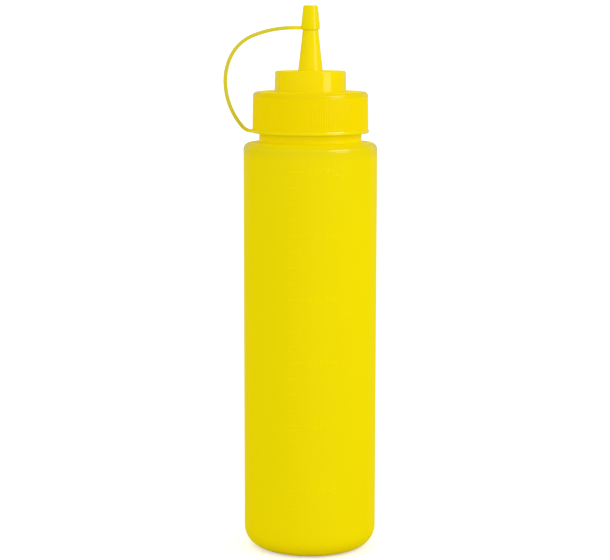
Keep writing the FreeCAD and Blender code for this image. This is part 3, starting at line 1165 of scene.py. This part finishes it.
def look(spot: np.ndarray, target: np.ndarray) -> Matrix:
    """Matrix of a lamp whose -Z points at a target.

    Args:
        spot: where the lamp stands.
        target: the point it looks at.

    Returns:
        The matrix.
    """
    back = (spot - target) / np.linalg.norm(spot - target)
    right = np.cross([0.0, 0.0, 1.0], back)
    right /= np.linalg.norm(right)
    up = np.cross(back, right)
    matrix = np.eye(4)
    matrix[:3, 0], matrix[:3, 1], matrix[:3, 2], matrix[:3, 3] = right, up, back, spot
    return Matrix(matrix.tolist())


@dataclass(frozen=True)
class Lamp:
    """A soft rectangular lamp to the right of the camera; metres, degrees and watts.

    Args:
        name: the lamp's name.
        elevation: angle above the cap's level, seen from the bottle's axis.
        height: height of the rectangle.
        power: light given out.
        bearing: angle from the front towards +X.
        distance: how far it stands from the cap.
        width: width of the rectangle.
        target: level it looks at.
    """

    name: str
    elevation: float
    height: float
    power: float
    bearing: float = 55.0
    distance: float = 1.0
    width: float = 0.46
    target: float = 0.23

    def build(self) -> None:
        """Make the lamp and turn it to the bottle."""
        lamp = bpy.data.lights.new(self.name, "AREA")
        lamp.shape = "RECTANGLE"
        lamp.size = self.width
        lamp.size_y = self.height
        lamp.energy = self.power
        bearing, elevation = math.radians(self.bearing), math.radians(self.elevation)
        level, target = math.cos(elevation), np.array([0.0, 0.0, self.target])
        way = np.array([math.sin(bearing) * level, -math.cos(bearing) * level, math.sin(elevation)])
        stand = bpy.data.objects.new(self.name, lamp)
        stand.matrix_world = look(target + way * self.distance, target)
        bpy.context.scene.collection.objects.link(stand)


@dataclass
class Studio:
    """White floor and surroundings, two soft lamps, and the camera; metres and degrees."""

    floor_size: float = 30.0
    floor_tone: float = 0.8
    floor_glow: float = 0.45
    horizon_level: float = 1.26
    zenith_level: float = 0.78
    backdrop_in_gloss: float = 0.35
    backdrop_edge: float = 0.45
    lamps: tuple[Lamp, ...] = (
        Lamp("key", elevation=33.0, height=0.26, power=1.22, bearing=57.0, width=0.58),
        Lamp("strip", elevation=8.0, height=0.34, power=0.43),
    )
    lens: float = 109.18
    sensor: float = 36.0
    back: float = 0.91256
    rise: float = 0.26215
    tilt: float = 7.95
    swing: float = -0.16
    roll: float = 0.08

    def build_floor(self) -> None:
        """Make the floor, which glows a little for the camera alone and so stays white."""
        half = self.floor_size / 2
        mesh = bpy.data.meshes.new("studio_floor")
        corners = [(-half, -half, 0), (half, -half, 0), (half, half, 0), (-half, half, 0)]
        mesh.from_pydata(corners, [], [(0, 1, 2, 3)])
        floor = bpy.data.objects.new("studio_floor", mesh)
        bpy.context.scene.collection.objects.link(floor)
        material = bpy.data.materials.new("white_floor")
        material.use_nodes = True
        nodes, links = material.node_tree.nodes, material.node_tree.links
        nodes.clear()
        diffuse, glow = nodes.new("ShaderNodeBsdfDiffuse"), nodes.new("ShaderNodeEmission")
        add, light = nodes.new("ShaderNodeAddShader"), nodes.new("ShaderNodeLightPath")
        level, output = nodes.new("ShaderNodeMath"), nodes.new("ShaderNodeOutputMaterial")
        diffuse.inputs["Color"].default_value = (*[self.floor_tone] * 3, 1.0)
        level.operation = "MULTIPLY"
        level.inputs[1].default_value = self.floor_glow
        links.new(light.outputs["Is Camera Ray"], level.inputs[0])
        links.new(level.outputs[0], glow.inputs["Strength"])
        links.new(diffuse.outputs[0], add.inputs[0])
        links.new(glow.outputs[0], add.inputs[1])
        links.new(add.outputs[0], output.inputs["Surface"])
        mesh.materials.append(material)
        floor.visible_glossy = False

    def build_world(self) -> None:
        """White surroundings, strongest at the horizon and weaker overhead.

        The camera sees white; a glossy skin mirrors only a share of the backdrop behind the
        bottle, which rises from 0 at the backdrop's edge, a Y direction, and keeps the yellow deep.
        """
        world = bpy.data.worlds.new("white_surroundings")
        bpy.context.scene.world = world
        world.use_nodes = True
        nodes, links = world.node_tree.nodes, world.node_tree.links
        background = nodes["Background"]
        background.inputs["Color"].default_value = (1.0, 1.0, 1.0, 1.0)
        place, split = nodes.new("ShaderNodeTexCoord"), nodes.new("ShaderNodeSeparateXYZ")
        level, behind = nodes.new("ShaderNodeMapRange"), nodes.new("ShaderNodeMapRange")
        light, share = nodes.new("ShaderNodeLightPath"), nodes.new("ShaderNodeMix")
        steep, kept, seen = (nodes.new("ShaderNodeMath") for _ in range(3))
        steep.operation, kept.operation, seen.operation = "ABSOLUTE", "MULTIPLY", "MAXIMUM"
        level.inputs["To Min"].default_value = self.horizon_level
        level.inputs["To Max"].default_value = self.zenith_level
        links.new(place.outputs["Generated"], split.inputs[0])
        links.new(split.outputs["Z"], steep.inputs[0])
        links.new(steep.outputs[0], level.inputs["Value"])
        behind.inputs["From Min"].default_value = self.backdrop_edge
        behind.inputs["To Max"].default_value = self.backdrop_in_gloss
        share.inputs["A"].default_value = 1.0
        links.new(split.outputs["Y"], behind.inputs["Value"])
        links.new(light.outputs["Is Glossy Ray"], share.inputs["Factor"])
        links.new(behind.outputs["Result"], share.inputs["B"])
        links.new(level.outputs["Result"], kept.inputs[0])
        links.new(share.outputs["Result"], kept.inputs[1])
        links.new(kept.outputs[0], seen.inputs[0])
        links.new(light.outputs["Is Camera Ray"], seen.inputs[1])
        links.new(seen.outputs[0], background.inputs["Strength"])

    def build_camera(self) -> None:
        """A long lens in front of the bottle, tilted down a little."""
        lens = bpy.data.cameras.new("view")
        lens.lens = self.lens
        lens.sensor_width = self.sensor
        camera = bpy.data.objects.new("view", lens)
        bpy.context.scene.collection.objects.link(camera)
        tilt, swing, roll = (math.radians(angle) for angle in (self.tilt, self.swing, self.roll))
        turn = Matrix.Rotation(-swing, 4, "Z") @ Matrix.Rotation(math.pi / 2 - tilt, 4, "X")
        spot = Matrix.Translation((0.0, -self.back, self.rise))
        camera.matrix_world = spot @ turn @ Matrix.Rotation(roll, 4, "Z")
        bpy.context.scene.camera = camera

    def build(self) -> None:
        """Make camera, floor, world and lamps, and fix the view transform."""
        self.build_camera()
        self.build_floor()
        self.build_world()
        for lamp in self.lamps:
            lamp.build()
        bpy.context.scene.view_settings.view_transform = "Standard"


def main() -> None:
    """Build the studio and the three mouldings."""
    logging.basicConfig(level=logging.INFO, format="%(name)s: %(message)s")
    Studio().build()
    group = moulding_group()
    Bottle().build(BOTTLE_FINISH.build(group))
    cap = ScrewCap()
    cap.build(CAP_FINISH.build(group))
    Tether(cap).build(TETHER_FINISH.build(group))


if __name__ == "__main__":
    main()
